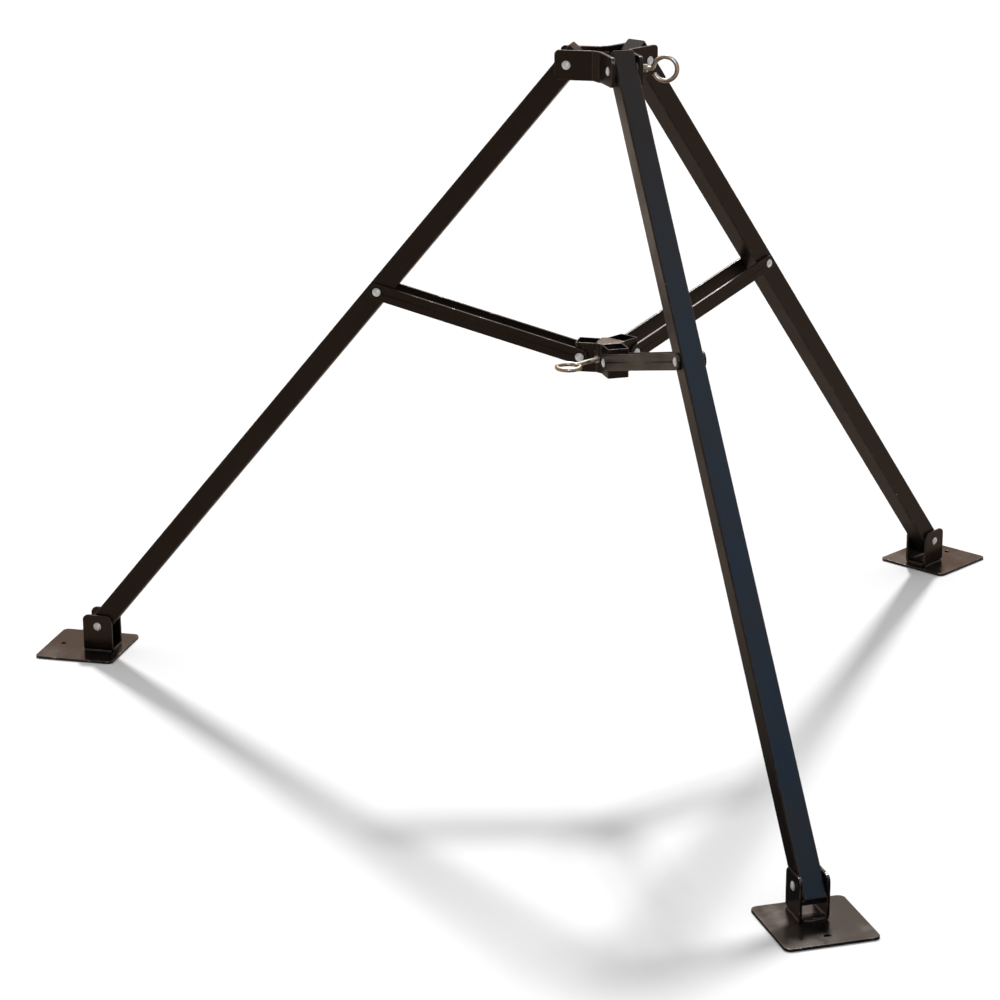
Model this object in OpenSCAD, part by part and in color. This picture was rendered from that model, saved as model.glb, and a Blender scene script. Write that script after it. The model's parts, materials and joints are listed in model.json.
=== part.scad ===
// Folding three-leg stand. A forked head carries three square-tube legs.
// Paired brace bars tie the legs to a sliding hub, and each leg stands on
// a pivoting foot plate. Leg frames have x outward, y across and z up.

/* [Legs] */
// Outside width of the square leg tube
tube_w = 38.1; // [34:0.1:42]
// Wall thickness of the square tubes
tube_wall = 2.1; // [1.5:0.1:3]
// Outside corner radius of the square tubes
tube_corner = 3; // [2.5:0.1:4]
// Inside corner radius of the square tubes
tube_inner = 1; // [0.5:0.1:1.5]
// Distance from a leg's head pivot to its foot pivot
leg_len = 1405; // [1300:5:1500]
// Length of tube beyond the pivot at each end
leg_end = 28; // [26:0.5:30]
// Thickness of the plate that closes a leg's upper end
cap_t = 3; // [2:0.5:4]
// Angle of an open leg from the vertical
leg_tilt = 39.6; // [37:0.1:42]

/* [Rivets] */
// Radius of every pivot rivet's shank
rivet_r = 4.75; // [4:0.05:5]
// Radius of a rivet's domed head
dome_r = 7.5; // [6.5:0.1:9]
// Height of a rivet's domed head
dome_h = 3.2; // [2.5:0.1:4]
// Radial clearance of a bore that turns on a rivet
running_gap = 0.06; // [0.02:0.01:0.1]

/* [Head] */
// Distance of the leg pivots from the stand's axis
head_r = 70.5; // [70:0.5:75]
// Height of the forks' flat bar
fork_h = 50.8; // [45:0.1:56]
// Thickness of the forks' flat bar
fork_t = 6.35; // [5:0.05:8]
// Gap between a leg's side and the fork ear beside it
fork_gap = 2.35; // [2:0.05:3]
// Distance of a fork's outer end from the stand's axis
fork_out = 91; // [88:0.5:95]
// Distance of a fork's short middle face from the stand's axis
fork_mid = 36.5; // [35:0.5:38]
// Radius of a fork ear's outer corners
ear_corner = 8; // [5:0.5:12]
// Height of the triangular core that stops the open legs
core_h = 40; // [38:1:44]
// Wall thickness of the core
core_wall = 4; // [3:0.5:5]
// Gap between an open leg's end and the core
core_gap = 0.4; // [0.2:0.1:1]
// Thickness of the washers beside the legs
washer_t = 2; // [1.5:0.1:2]
// Outside radius of the washers
washer_r = 13; // [11:0.5:15]

/* [Braces] */
// Distance down a leg from its head pivot to its brace pivot
brace_at = 535; // [525:1:540]
// Distance between the pivots of a brace bar
brace_len = 377.2; // [375:0.1:385]
// Height of a brace bar
bar_h = 28; // [24:0.1:29]
// Thickness of a brace bar
bar_t = 4.76; // [4:0.02:6]
// Gap between a brace bar and the tube beside it
bar_gap = 0.6; // [0.5:0.1:1.5]
// Gap between a brace bar and the hub rivet's head
bar_clear = 0.3; // [0.2:0.1:0.5]

/* [Hub] */
// Distance of the brace pivots from the stand's axis
hub_r = 46.8; // [46:0.1:48]
// Distance of a hub tube's inner face from the stand's axis
hub_in = 17.4; // [17:0.1:18]
// Height of the hub tubes
hub_h = 52; // [48:1:56]
// Distance of the brace pivots below the hub's top
hub_drop = 25; // [22:0.5:28]
// Thickness of the hub's top plate
hub_plate_t = 4; // [3:0.5:5]
// Thickness of the strips that join the hub tubes
web_t = 3.5; // [3:0.1:3.6]

/* [Eyebolts] */
// Radius of an eyebolt's wire
wire_r = 3.9; // [3.5:0.1:4]
// Radius of an eye, to the middle of its wire
eye_r = 20.2; // [18:0.1:22]
// Distance of the head's eye from the stand's axis, to its middle
head_eye_out = 94.5; // [90:0.5:110]
// Distance of the hub's eye from the stand's axis, to its middle
hub_eye_out = 103; // [95:0.5:110]
// Height of the head's eyebolt above the forks' lower edge
head_eye_up = 20.5; // [15:0.5:25]
// Arc of the eye left open below its shank, in degrees
eye_open = 22; // [18:1:35]
// Arc of the eye that the end of the shank covers, in degrees
eye_neck = 9; // [8:1:12]
// Length of thread past the head's inner nut
head_thread = 2; // [1:0.5:3]
// Length of thread past the hub's inner nut
hub_thread = 1; // [0.5:0.5:1.5]
// Width of the nuts across their flats
nut_w = 12.7; // [11:0.1:13]
// Thickness of the nuts
nut_t = 6.4; // [5:0.1:7]
// Distance of the head's two outer nuts from the stand's axis
jam_out = 51.4; // [45:0.1:53]

/* [Feet] */
// Length of a side of the square foot plates
plate_w = 152.4; // [140:0.1:165]
// Thickness of the foot plates and brackets
plate_t = 4.76; // [4:0.02:5]
// Corner radius of the foot plates
plate_corner = 11; // [6:0.5:15]
// Distance of a plate's middle outward from its pivot
plate_shift = 30.8; // [25:0.1:35]
// Length of a foot bracket along the leg's plane
ear_w = 57.2; // [50:0.1:60]
// Height of the foot pivot above the ground
foot_z = 52.8; // [50:0.1:56]
// Height of a foot bracket's top above the ground
ear_top = 74.6; // [72:0.1:80]
// Gap between a leg's side and the foot ear beside it
ear_gap = 0.75; // [0.5:0.05:1]
// Radius of the stake hole
stake_r = 6; // [4:0.1:8]
// Distance of the stake hole from the plate's outer edge
stake_in = 26.5; // [20:0.5:35]

/* [Hidden] */
$fn = 48;
front = 0;
right = 1;
left = 2;
leg_turn = 120;
half_turn = leg_turn / 2;
function azimuth(side) = 270 + leg_turn * side;
paint = "#1d1b19";
zinc = "#cfc3ae";
steel = "#b9b9b6";
cut = 1;

head_z = foot_z + leg_len * cos(leg_tilt);
foot_r = head_r + leg_len * sin(leg_tilt);
brace_r = head_r + brace_at * sin(leg_tilt);
brace_z = head_z - brace_at * cos(leg_tilt);
hub_z = brace_z - sqrt(pow(brace_len, 2) - pow(brace_r - hub_r, 2));
brace_rise = asin((brace_z - hub_z) / brace_len);

// The stand's axis is shifted so that the origin is under the middle of
// the whole stand's box.
plate_out = foot_r + plate_shift + plate_w / 2;
plate_back = (plate_out - plate_corner) * sin(azimuth(right))
    + (plate_w / 2 - plate_corner) * cos(azimuth(right)) + plate_corner;
axis_y = (plate_out - plate_back) / 2;

half_w = tube_w / 2;
ear_face = half_w + fork_gap + fork_t;
fork_low = head_z - fork_h / 2;
fork_in = fork_mid - fork_t;
core_in = fork_in - core_wall;
core_stop = head_r - leg_end * sin(leg_tilt) - half_w * cos(leg_tilt) - core_gap;
bar_face = half_w + bar_gap + bar_t;
hub_top = hub_z + hub_drop;
hub_low = hub_top - hub_h;
web_face = hub_in * cos(half_turn) + half_w * sin(half_turn);
web_in = web_face - web_t;
web_w = 2 * (hub_in * sin(half_turn) - half_w * cos(half_turn));
eye_head_z = fork_low + head_eye_up;
eye_hub_z = hub_top - hub_h / 2;
bracket_half = half_w + ear_gap + plate_t;

// Place children in the frame of one leg, or halfway to the next leg.
module on_leg(side) translate([0, axis_y, 0]) rotate(azimuth(side)) children();

module after_leg(side) translate([0, axis_y, 0]) rotate(azimuth(side) + half_turn) children();

// The place on the plan of a point x outward and y across in one leg's frame.
function on_plan(side, x, y) = [x * cos(azimuth(side)) - y * sin(azimuth(side)),
    x * sin(azimuth(side)) + y * cos(azimuth(side))];

// A rectangle with true round corners, centred.
module round_rect(x, y, r) {
    square([x - 2 * r, y], center = true);
    square([x, y - 2 * r], center = true);
    for (i = [-1, 1], j = [-1, 1]) translate([i * (x / 2 - r), j * (y / 2 - r)]) circle(r);
}

module square_tube(length) linear_extrude(length) difference() {
    round_rect(tube_w, tube_w, tube_corner);
    round_rect(tube_w - 2 * tube_wall, tube_w - 2 * tube_wall, tube_inner);
}

// A bore or a pin through the frame's x = z = 0, across the leg.
module across(r, half) rotate([90, 0, 0]) cylinder(r = r, h = 2 * half, center = true);

// One domed head that sits on the face y = 0 and points to +y.
module dome() {
    ball_r = (dome_r * dome_r + dome_h * dome_h) / (2 * dome_h);
    intersection() {
        translate([0, dome_h - ball_r, 0]) sphere(ball_r);
        translate([0, dome_h / 2, 0]) cube([3 * dome_r, dome_h, 3 * dome_r], center = true);
    }
}

// A whole rivet whose domes sit at +face and -face.
module rivet(face) color(steel) union() {
    across(rivet_r, face + dome_h / 2);
    for (turn = [0, 180]) rotate(turn) translate([0, face, 0]) dome();
}

// Head

// A flat bar bent twice: it makes one ear of this leg's fork and one of the next.
module head_fork(side) {
    skew = function(mid, face) (mid - face * sin(half_turn)) / cos(half_turn);
    ear = function(along, face, s) [along * cos(half_turn) + face * sin(half_turn),
        s * (along * sin(half_turn) - face * cos(half_turn))];
    inner = ear_face - fork_t;
    color(paint) difference() {
        after_leg(side) translate([0, 0, fork_low]) linear_extrude(fork_h) polygon([
            ear(skew(fork_in, inner), inner, -1), ear(fork_out, inner, -1), ear(fork_out, ear_face, -1),
            ear(skew(fork_mid, ear_face), ear_face, -1), ear(skew(fork_mid, ear_face), ear_face, 1),
            ear(fork_out, ear_face, 1), ear(fork_out, inner, 1), ear(skew(fork_in, inner), inner, 1)
        ]);
        for (leg = [side, side + 1]) on_leg(leg) translate([head_r, 0, head_z]) {
            across(rivet_r, ear_face + cut);
            for (flip = [0, 1]) mirror([0, 0, flip]) ear_rounding();
        }
        if (side == front) after_leg(side) translate([0, 0, eye_head_z]) rotate([0, 90, 0])
            cylinder(r = wire_r, h = 2 * fork_mid);
    }
}

// Removes the square corner outside an ear's rounded top corner.
module ear_rounding() translate([fork_out - head_r - ear_corner, 0, fork_h / 2 - ear_corner])
    rotate([90, 0, 0]) linear_extrude(3 * ear_face, center = true) difference() {
        square(ear_corner + cut);
        circle(ear_corner);
    }

function core_points(gap) = [
    let (stop = core_stop - gap, y = (fork_in - gap - stop * cos(half_turn)) / sin(half_turn))
        for (leg = [front, right, left], s = [-1, 1]) on_plan(leg, stop, s * y)
];

module head_core() color(paint) difference() {
    translate([0, axis_y, fork_low]) linear_extrude(core_h) difference() {
        polygon(core_points(0));
        polygon(core_points(core_wall));
    }
    after_leg(front) translate([0, 0, eye_head_z]) rotate([0, 90, 0]) cylinder(r = wire_r, h = fork_mid);
}

module head_rivet(side) on_leg(side) translate([head_r, 0, head_z]) rivet(ear_face);

module head_washers() color(steel) for (leg = [front, right, left], s = [-1, 1])
    on_leg(leg) translate([head_r, s * (ear_face - fork_t - washer_t / 2), head_z]) difference() {
        across(washer_r, washer_t / 2);
        across(rivet_r, washer_t);
    }

// An eyebolt along +x whose eye is in the x-z plane, open below the shank.
module eyebolt(start, out) color(zinc) union() {
    translate([start, 0, 0]) rotate([0, 90, 0]) cylinder(r = wire_r, h = out - eye_r - start);
    translate([out, 0, 0]) difference() {
        rotate([90, 0, 0]) rotate_extrude() translate([eye_r, 0]) circle(wire_r);
        rotate([90, 180, 0]) linear_extrude(4 * wire_r, center = true)
            polygon([[0, 0], for (a = [eye_neck, eye_open]) 2 * eye_r * [cos(a), sin(a)]]);
    }
}

// One nut from each start along +x.
module nuts(starts) color(zinc) for (x = starts)
    translate([x, 0, 0]) rotate([0, 90, 0]) difference() {
        cylinder(r = nut_w / sqrt(3), h = nut_t, $fn = 6);
        translate([0, 0, -cut]) cylinder(r = wire_r, h = nut_t + 2 * cut);
    }

module at_head_eye() after_leg(front) translate([0, 0, eye_head_z]) children();

module head_eyebolt() at_head_eye() eyebolt(core_in - nut_t - head_thread, head_eye_out);

// One nut each side of the wall, and two more locked together nearer the eye.
module head_eyebolt_nuts() at_head_eye() nuts([core_in - nut_t, fork_mid, jam_out, jam_out + nut_t]);

// Legs

module on_tube(side) on_leg(side) translate([head_r, 0, head_z]) rotate([0, -leg_tilt, 0]) children();

module leg(side) color(paint) on_tube(side) difference() {
    union() {
        translate([0, 0, -leg_len - leg_end]) square_tube(leg_len + 2 * leg_end);
        translate([0, 0, leg_end - cap_t]) linear_extrude(cap_t) round_rect(tube_w, tube_w, tube_corner);
    }
    for (down = [0, leg_len]) translate([0, 0, -down]) across(rivet_r + running_gap, tube_w);
    translate([0, 0, -brace_at]) across(rivet_r, tube_w);
}

// The middle of a brace pivot's rivet, flush with the leg's sides.
module brace_pin(side) color(steel) on_tube(side) translate([0, 0, -brace_at]) across(rivet_r, half_w);

// Hub

module hub_tube(side) color(paint) on_leg(side) difference() {
    translate([hub_in + half_w, 0, hub_low]) square_tube(hub_h);
    translate([hub_r, 0, hub_z]) across(rivet_r, tube_w);
}

// Short upright strips between the hub tubes' inner corners.
module hub_webs() color(paint) for (leg = [front, right, left]) after_leg(leg) difference() {
    translate([web_in, -web_w / 2, hub_low]) cube([web_t, web_w, hub_h - hub_plate_t]);
    if (leg == left) translate([0, 0, eye_hub_z]) rotate([0, 90, 0]) cylinder(r = wire_r, h = fork_mid);
}

// The six-sided plate that closes the top of the hub between its tubes.
module hub_plate() color(paint) translate([0, axis_y, hub_top - hub_plate_t]) linear_extrude(hub_plate_t)
    polygon([for (leg = [front, right, left], s = [-1, 1]) on_plan(leg, hub_in, s * half_w)]);

module hub_rivet(side) on_leg(side) translate([hub_r, 0, hub_z]) rivet(bar_face + bar_clear);

module hub_eyebolt() after_leg(left) translate([0, 0, eye_hub_z]) rotate([90, 0, 0])
    eyebolt(web_in - nut_t - hub_thread, hub_eye_out);

module hub_eyebolt_nuts() after_leg(left) translate([0, 0, eye_hub_z]) nuts([web_in - nut_t, web_face]);

// Braces

module on_brace(side) on_leg(side) translate([hub_r, 0, hub_z]) rotate([0, -brace_rise, 0]) children();

// One flat bar with round ends; s is the side of the leg that it lies on.
module brace_bar(side, s) color(paint) on_brace(side) difference() {
    translate([0, s * (bar_face - bar_t / 2), 0]) rotate([90, 0, 0]) linear_extrude(bar_t, center = true) {
        translate([0, -bar_h / 2]) square([brace_len, bar_h]);
        for (x = [0, brace_len]) translate([x, 0]) circle(bar_h / 2);
    }
    across(rivet_r + running_gap, 2 * bar_face);
    translate([brace_len, 0, 0]) across(rivet_r, 2 * bar_face);
}

// The two ends of a brace pivot's rivet, each through one bar.
module brace_rivet_ends(side) color(steel) on_brace(side) translate([brace_len, 0, 0])
    for (turn = [0, 180]) rotate(turn) translate([0, bar_face, 0]) {
        dome();
        translate([0, -bar_t / 2, 0]) across(rivet_r, bar_t / 2);
    }

// Feet

module foot_plate(side) color(paint) on_leg(side) translate([foot_r + plate_shift, 0, 0])
    linear_extrude(plate_t) difference() {
        round_rect(plate_w, plate_w, plate_corner);
        translate([plate_w / 2 - stake_in, 0]) circle(stake_r);
    }

// A U of plate: a floor on the foot plate and an ear on each side of the leg.
module foot_bracket(side) color(paint) on_leg(side) translate([foot_r, 0, 0]) difference() {
    union() {
        translate([-ear_w / 2, -bracket_half, plate_t]) cube([ear_w, 2 * bracket_half, plate_t]);
        for (s = [-1, 1]) translate([0, s * (bracket_half - plate_t / 2), 0])
            rotate([90, 0, 0]) linear_extrude(plate_t, center = true) foot_ear();
    }
    translate([0, 0, foot_z]) across(rivet_r, 2 * bracket_half);
}

// An ear's outline, with its two upper corners rounded.
module foot_ear() {
    translate([-ear_w / 2, plate_t]) square([ear_w, ear_top - plate_t - plate_corner]);
    translate([plate_corner - ear_w / 2, plate_t]) square([ear_w - 2 * plate_corner, ear_top - plate_t]);
    for (s = [-1, 1]) translate([s * (ear_w / 2 - plate_corner), ear_top - plate_corner])
        circle(plate_corner);
}

module foot_rivet(side) on_leg(side) translate([foot_r, 0, foot_z]) rivet(bracket_half);

head_fork(left);  // head_fork_left_front
head_fork(front);  // head_fork_front_right
head_fork(right);  // head_fork_right_left
head_core();
head_rivet(front);  // head_rivet_front
head_rivet(right);  // head_rivet_right
head_rivet(left);  // head_rivet_left
head_washers();
head_eyebolt();
head_eyebolt_nuts();
leg(front);  // leg_front
leg(right);  // leg_right
leg(left);  // leg_left
brace_pin(front);  // brace_pin_front
brace_pin(right);  // brace_pin_right
brace_pin(left);  // brace_pin_left
hub_tube(front);  // hub_tube_front
hub_tube(right);  // hub_tube_right
hub_tube(left);  // hub_tube_left
hub_webs();
hub_plate();
hub_rivet(front);  // hub_rivet_front
hub_rivet(right);  // hub_rivet_right
hub_rivet(left);  // hub_rivet_left
hub_eyebolt();
hub_eyebolt_nuts();
brace_bar(front, -1);  // brace_bar_front_a
brace_bar(front, 1);  // brace_bar_front_b
brace_rivet_ends(front);  // brace_rivet_ends_front
brace_bar(right, -1);  // brace_bar_right_a
brace_bar(right, 1);  // brace_bar_right_b
brace_rivet_ends(right);  // brace_rivet_ends_right
brace_bar(left, -1);  // brace_bar_left_a
brace_bar(left, 1);  // brace_bar_left_b
brace_rivet_ends(left);  // brace_rivet_ends_left
foot_plate(front);  // foot_plate_front
foot_bracket(front);  // foot_bracket_front
foot_rivet(front);  // foot_rivet_front
foot_plate(right);  // foot_plate_right
foot_bracket(right);  // foot_bracket_right
foot_rivet(right);  // foot_rivet_right
foot_plate(left);  // foot_plate_left
foot_bracket(left);  // foot_bracket_left
foot_rivet(left);  // foot_rivet_left
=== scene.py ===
# Folding three-leg stand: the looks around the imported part
import bpy
import json
import numpy as np
from mathutils import Matrix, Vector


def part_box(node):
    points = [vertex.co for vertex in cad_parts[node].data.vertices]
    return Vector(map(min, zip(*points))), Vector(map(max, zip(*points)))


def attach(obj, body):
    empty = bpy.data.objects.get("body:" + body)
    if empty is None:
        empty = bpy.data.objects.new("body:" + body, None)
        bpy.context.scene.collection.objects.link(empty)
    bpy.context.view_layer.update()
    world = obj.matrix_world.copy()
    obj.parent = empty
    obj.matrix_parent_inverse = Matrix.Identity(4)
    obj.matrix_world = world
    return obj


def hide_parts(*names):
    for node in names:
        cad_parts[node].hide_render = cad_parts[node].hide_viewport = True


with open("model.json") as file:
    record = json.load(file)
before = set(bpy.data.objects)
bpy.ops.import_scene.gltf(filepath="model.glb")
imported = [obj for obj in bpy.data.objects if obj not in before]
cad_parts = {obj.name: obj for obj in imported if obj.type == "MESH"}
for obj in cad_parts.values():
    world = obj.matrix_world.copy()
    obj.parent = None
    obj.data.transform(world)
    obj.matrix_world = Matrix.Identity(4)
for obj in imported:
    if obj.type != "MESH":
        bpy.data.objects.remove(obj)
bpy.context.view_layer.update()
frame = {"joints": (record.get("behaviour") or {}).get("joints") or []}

# Places: the pivots come from the imported joints and the brace pins' boxes, and the rest is measured from
# them and from the parts' boxes
sides = ["front", "right", "left"]
legJoint = {"front": "leg_fold", "right": "leg_fold_right", "left": "leg_fold_left"}
joints = {joint["name"]: np.array(joint["pos_m"]) for joint in frame["joints"] if "pos_m" in joint}
up = np.array([0, 0, 1.0])


def unit(vector):
    return vector / np.linalg.norm(vector, axis=-1, keepdims=True)


def middle(node):
    low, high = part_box(node)
    return (np.array(low) + np.array(high)) / 2


headPivot = {side: joints[legJoint[side]] for side in sides}
footPivot = {side: joints["foot_tilt_" + side] for side in sides}
hubPivot = {side: joints["brace_swing_" + side] for side in sides}
bracePivot = {side: middle("brace_pin_" + side) for side in sides}
axis = sum(headPivot.values()) / 3 * [1, 1, 0]  # the stand's upright axis, on the floor
outward = {side: unit((headPivot[side] - axis) * [1, 1, 0]) for side in sides}
between = {"front": -outward["left"], "right": -outward["front"], "left": -outward["right"]}
legUp = {side: unit(headPivot[side] - footPivot[side]) for side in sides}
legLength = np.linalg.norm(headPivot["front"] - footPivot["front"])
headRadius = np.linalg.norm((headPivot["front"] - axis)[:2])
tiltSin, tiltCos = np.linalg.norm(legUp["front"][:2]), legUp["front"][2]


def sidewaysOf(direction):
    return np.cross(up, direction)


def direction(turn, height):
    turn, height = np.radians(turn), np.radians(height)
    return np.array([np.cos(height) * np.cos(turn), np.cos(height) * np.sin(turn), np.sin(height)])


def placed(x, y, z, at):
    # A matrix whose columns are the three axes and the place
    return Matrix(np.column_stack([x, y, z, at]).tolist() + [[0, 0, 0, 1]])


# Shapes: each is a closed surface worked out as whole arrays
def gridShape(rings, wear, closePath=False, poles=(None, None)):
    # Ring i, point j. Every ring closes on itself. An open path ends in a fan at each pole.
    count, around = rings.shape[:2]
    wear = np.broadcast_to(wear, (count, around))
    nextRing = np.roll(rings, -1, axis=0)
    steps = np.linalg.norm(nextRing - rings, axis=2).mean(1)
    along = np.r_[0, np.cumsum(steps)]
    widths = np.linalg.norm(np.roll(rings, -1, axis=1) - rings, axis=2).max(0)
    across = np.r_[0, np.cumsum(widths)]
    i, j = np.meshgrid(np.arange(count if closePath else count - 1), np.arange(around), indexing="ij")
    i, j = i.ravel(), j.ravel()
    below, nextJ = (i + 1) % count, (j + 1) % around
    quads = np.stack([i * around + j, i * around + nextJ, below * around + nextJ, below * around + j], 1)
    quadUv = np.stack([
        np.stack([along[i], across[j]], 1), np.stack([along[i], across[j + 1]], 1),
        np.stack([along[i + 1], across[j + 1]], 1), np.stack([along[i + 1], across[j]], 1)], 1)
    points, marks = rings.reshape(-1, 3), wear.ravel()
    triangles, triangleUv = np.zeros((0, 3), int), np.zeros((0, 3, 2))
    if not closePath:
        j = np.arange(around)
        for end, ring in ((0, 0), (1, count - 1)):
            pole = rings[ring].mean(0) if poles[end] is None else np.asarray(poles[end])
            points, marks = np.vstack([points, pole]), np.r_[marks, 0]
            rim = [ring * around + j, ring * around + (j + 1) % around]
            rim = rim if end else rim[::-1]
            triangles = np.vstack([triangles, np.stack([np.full(around, len(points) - 1), *rim], 1)])
            edge = np.stack([np.full(around, along[ring]), across[j]], 1)
            triangleUv = np.vstack([triangleUv, np.stack([edge * [1, 0], edge, edge], 1)])
    corners = np.vstack([quads[:, [0, 1, 2]], quads[:, [0, 2, 3]], triangles])
    a, b, c = points[corners[:, 0]], points[corners[:, 1]], points[corners[:, 2]]
    if np.sum((a - points[0]) * np.cross(b - points[0], c - points[0])) < 0:  # inside out
        quads, quadUv = quads[:, ::-1], quadUv[:, ::-1]
        triangles, triangleUv = triangles[:, ::-1], triangleUv[:, ::-1]
    return {"points": points, "wear": marks, "quads": quads, "quadUv": quadUv,
            "triangles": triangles, "triangleUv": triangleUv}


def makePiece(name, shapes, body, material, nodes):
    # Joins closed shapes into one mesh that rides on its body in place of its CAD nodes
    starts = np.r_[0, np.cumsum([len(s["points"]) for s in shapes])]
    points = np.vstack([s["points"] for s in shapes])
    quads = np.vstack([s["quads"] + start for s, start in zip(shapes, starts)])
    triangles = np.vstack([s["triangles"] + start for s, start in zip(shapes, starts)])
    uv = np.vstack([s["quadUv"].reshape(-1, 2) for s in shapes] +
                   [s["triangleUv"].reshape(-1, 2) for s in shapes])
    mesh = bpy.data.meshes.new(name)
    mesh.from_pydata(points, [], quads.tolist() + triangles.tolist())
    mesh.uv_layers.new(name="surface").data.foreach_set("uv", uv.ravel().astype(np.float32))
    edge = mesh.attributes.new("edge", "FLOAT", "POINT")
    edge.data.foreach_set("value", np.concatenate([s["wear"] for s in shapes]).astype(np.float32))
    mesh.polygons.foreach_set("use_smooth", np.ones(len(mesh.polygons), bool))
    mesh.materials.append(material)
    mesh.set_sharp_from_angle(angle=np.radians(50))
    piece = bpy.data.objects.new(name, mesh)
    bpy.context.scene.collection.objects.link(piece)
    smooth = piece.modifiers.new("flatFaces", "WEIGHTED_NORMAL")
    smooth.keep_sharp = True
    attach(piece, body)
    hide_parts(*nodes)
    return piece


def roundOutline(corners, radius, shrink=0.0, inset=0.001, steps=5):
    # Each corner c of an anticlockwise outline, moved in by shrink, becomes the arc
    # c + (shrink + r) (after - before) / sin(turn) + r (cos t, sin t), with one point on each flat beside it.
    corners = np.asarray(corners, float)
    corners = corners[None] if corners.ndim == 2 else corners
    shrink = np.atleast_1d(shrink).astype(float)[:, None, None]
    radius = np.maximum(radius - shrink, 0.0002)
    before = unit(corners - np.roll(corners, 1, axis=1))
    after = np.roll(before, -1, axis=1)
    start = np.arctan2(before[..., 1], before[..., 0])
    turn = (np.arctan2(after[..., 1], after[..., 0]) - start) % (2 * np.pi)
    centre = corners + (shrink + radius) * (after - before) / np.sin(turn)[..., None]
    t = (start - np.pi / 2)[..., None] + turn[..., None] * np.linspace(0, 1, steps + 1)
    arc = centre[:, :, None] + radius[..., None] * np.stack([np.cos(t), np.sin(t)], -1)
    first = arc[:, :, :1] - inset * before[:, :, None]
    last = arc[:, :, -1:] + inset * after[:, :, None]
    rows = np.concatenate([first, arc, last], 2)
    wear = np.r_[0, np.ones(steps + 1), 0]
    return rows.reshape(rows.shape[0], -1, 2), np.tile(wear, corners.shape[1])


def rectangle(halfX, halfY):
    halfX, halfY = np.broadcast_arrays(np.atleast_1d(halfX), np.atleast_1d(halfY))
    return np.stack([np.stack([-halfX, -halfY], 1), np.stack([halfX, -halfY], 1),
                     np.stack([halfX, halfY], 1), np.stack([-halfX, halfY], 1)], 1)


def inSpace(flat, heights, origin, ex, ey, ez):
    # Outlines in the plane of ex and ey, carried up ez
    return origin + flat[..., :1] * ex + flat[..., 1:] * ey + np.asarray(heights)[..., None, None] * ez


def quarter(count):
    return np.linspace(0, np.pi / 2, count + 1)


def tubeShape(corners, radius, wall, length, edge, origin, ex, ey, ez, rows=14, inset=0.0012):
    # Outer wall up, over the sawn lip, inner wall down, and back over the other lip
    lip = quarter(2)
    fall, draw = edge * (1 - np.cos(lip)), edge * (1 - np.sin(lip))
    mid = np.linspace(edge + 0.003, length - edge - 0.003, rows)
    z = np.r_[fall, mid, length - fall[::-1]]
    shrink = np.r_[draw, np.zeros(rows), draw[::-1]]
    z, shrink = np.r_[z, z[::-1]], np.r_[shrink, wall - shrink[::-1]]
    ends = np.r_[np.ones(3), np.zeros(rows), np.ones(3)]
    flat, wear = roundOutline(np.repeat(np.asarray(corners)[None], len(z), 0), radius, shrink, inset)
    wear = np.maximum(wear[None], np.r_[ends, ends][:, None])
    wear = wear * np.r_[np.ones(len(ends)), np.full(len(ends), 0.3)][:, None]
    return gridShape(inSpace(flat, z, origin, ex, ey, ez), wear, closePath=True)


def slabShape(corners, radius, thick, edge, origin, ex, ey, ez, hole=None, inset=0.0015, steps=8):
    # A flat plate whose rim is a rounded edge; hole is (x, y, radius) in the plate's plane
    turn = quarter(3)
    rim = edge * (1 - np.sin(turn)), edge * (1 - np.cos(turn))
    shrink = np.r_[edge + inset, rim[0], rim[0][::-1], edge + inset]
    z = np.r_[0, rim[1], thick - rim[1][::-1], thick]
    marks = np.r_[0, np.ones(8), 0]
    layers = np.repeat(np.asarray(corners, float)[None], len(z), 0)
    flat, wear = roundOutline(layers, radius, shrink, inset, steps)
    wear = np.maximum(0 * wear[None], marks[:, None])
    if hole is None:
        return gridShape(inSpace(flat, z, origin, ex, ey, ez), wear)
    towards = unit(flat[0] - np.array(hole[:2]))
    reach = hole[2] + shrink[::-1]
    inner = np.array(hole[:2]) + reach[:, None, None] * towards[None]
    flat, z = np.concatenate([flat, inner]), np.r_[z, z[::-1]]
    return gridShape(inSpace(flat, z, origin, ex, ey, ez), np.vstack([wear, 0 * wear]), closePath=True)


def bentPath(corners, bend, endSteps, bendSteps=8):
    # Straight runs joined by arcs of radius bend; endSteps are the distances of the first and last rings
    corners = np.asarray(corners, float)
    runs = unit(np.diff(corners, axis=0))
    points, heads = [corners[0] + endSteps[:, None] * runs[0]], [np.repeat(runs[:1], len(endSteps), 0)]
    for corner, a, b in zip(corners[1:-1], runs[:-1], runs[1:]):
        turn = np.arctan2(a[0] * b[1] - a[1] * b[0], a @ b)
        left = np.sign(turn) * np.array([-a[1], a[0]])
        start = corner - a * bend * np.tan(abs(turn) / 2)
        t = np.linspace(0, abs(turn), bendSteps + 1)[:, None]
        points.append(start + bend * (np.sin(t) * a + (1 - np.cos(t)) * left))
        heads.append(np.cos(t) * a + np.sin(t) * left)
    points.append(corners[-1] - endSteps[::-1, None] * runs[-1])
    heads.append(np.repeat(runs[-1:], len(endSteps), 0))
    return np.vstack(points), np.vstack(heads)


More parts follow.
